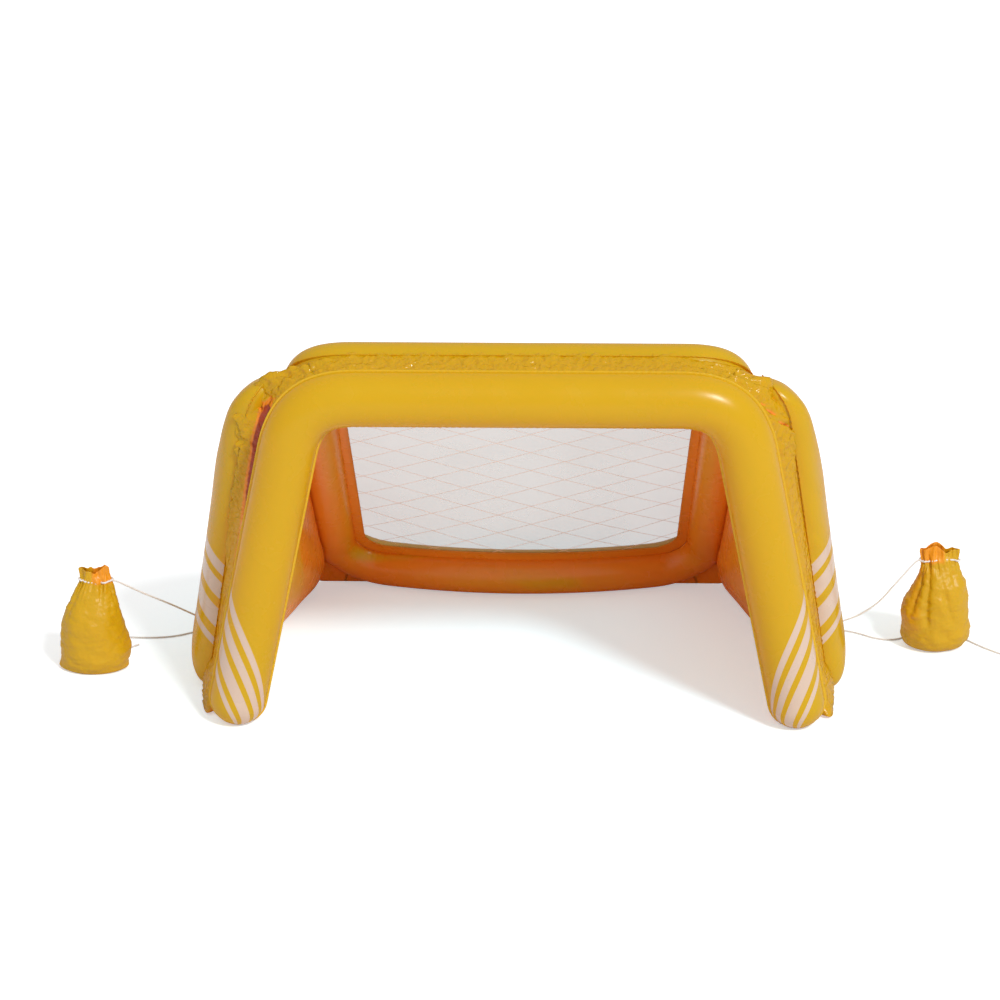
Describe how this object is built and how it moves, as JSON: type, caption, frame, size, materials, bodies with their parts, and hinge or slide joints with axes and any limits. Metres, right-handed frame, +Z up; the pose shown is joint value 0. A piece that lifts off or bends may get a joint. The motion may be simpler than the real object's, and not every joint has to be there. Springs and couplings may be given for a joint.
{
  "type": "inflatable water polo goal",
  "caption": "Inflatable floating pool goal: front arch, sloping net frame and side cushions of glossy vinyl, with push-in valves and sand-filled anchor bags on cords.",
  "frame": {"origin": "on the floor, in the middle of the goal without its anchors and cords", "axes": "+Z up, the mouth faces -Y, +X to the right as seen from the front, the longest extent along X"},
  "size_m": [2.1, 0.859, 0.796],
  "materials": {
    "inflated_vinyl": "gloss",
    "bag_vinyl": "gloss",
    "sheet_vinyl": "gloss",
    "net_film": "gloss",
    "clear_vinyl": "gloss",
    "cord": "matte",
    "sand": "matte"
  },
  "bodies": {
    "goal": {"front_arch": "inflated_vinyl", "rear_ring": "inflated_vinyl", "side_cushion_left": "inflated_vinyl", "side_cushion_right": "inflated_vinyl", "top_web": "sheet_vinyl", "side_web_left": "sheet_vinyl", "corner_gusset_left": "sheet_vinyl", "side_web_right": "sheet_vinyl", "corner_gusset_right": "sheet_vinyl", "net_border": "sheet_vinyl", "net_film": "net_film", "valve_seat_arch": "clear_vinyl", "valve_seat_ring": "clear_vinyl", "valve_seat_left": "clear_vinyl", "valve_seat_right": "clear_vinyl", "tie_tab_left": "sheet_vinyl", "tie_eyelet_left": "clear_vinyl", "anchor_bag_left": "bag_vinyl", "bag_ballast_left": "sand", "neck_cord_left": "cord", "anchor_cord_left": "cord", "tie_tab_right": "sheet_vinyl", "tie_eyelet_right": "clear_vinyl", "anchor_bag_right": "bag_vinyl", "bag_ballast_right": "sand", "neck_cord_right": "cord", "anchor_cord_right": "cord"},
    "stem_arch": {"valve_stem_arch": "clear_vinyl"},
    "cap_arch": {"valve_cap_arch": "clear_vinyl"},
    "stem_ring": {"valve_stem_ring": "clear_vinyl"},
    "cap_ring": {"valve_cap_ring": "clear_vinyl"},
    "stem_left": {"valve_stem_left": "clear_vinyl"},
    "cap_left": {"valve_cap_left": "clear_vinyl"},
    "stem_right": {"valve_stem_right": "clear_vinyl"},
    "cap_right": {"valve_cap_right": "clear_vinyl"}
  },
  "joints": [
    {"name": "stem_slide_arch", "type": "slide", "parent": "goal", "child": "stem_arch", "axis": [0, 0.7071, -0.7071], "range_m": [-0.012, 0]},
    {"name": "cap_hinge_arch", "type": "hinge", "parent": "stem_arch", "child": "cap_arch", "pos_m": [0.2598, -0.32038, 0.66738], "axis": [0, -0.7071, -0.7071], "range_deg": [0, 150]},
    {"name": "stem_slide_ring", "type": "slide", "parent": "goal", "child": "stem_ring", "axis": [0, 0.7235, 0.6903], "range_m": [-0.012, 0]},
    {"name": "cap_hinge_ring", "type": "hinge", "parent": "stem_ring", "child": "cap_ring", "pos_m": [-0.35962, 0.42379, 0.1118], "axis": [0, 0.6903, -0.7235], "range_deg": [0, 150]},
    {"name": "stem_slide_left", "type": "slide", "parent": "goal", "child": "stem_left", "axis": [-0.8324, 0.4373, 0.3405], "range_m": [-0.012, 0]},
    {"name": "cap_hinge_left", "type": "hinge", "parent": "stem_left", "child": "cap_left", "pos_m": [-0.60902, 0.1666, 0.18535], "axis": [-0.3786, 0, -0.9256], "range_deg": [0, 150]},
    {"name": "stem_slide_right", "type": "slide", "parent": "goal", "child": "stem_right", "axis": [0.8324, 0.4373, 0.3405], "range_m": [-0.012, 0]},
    {"name": "cap_hinge_right", "type": "hinge", "parent": "stem_right", "child": "cap_right", "pos_m": [0.60902, 0.1666, 0.18535], "axis": [-0.3786, 0, 0.9256], "range_deg": [0, 150]}
  ]
}
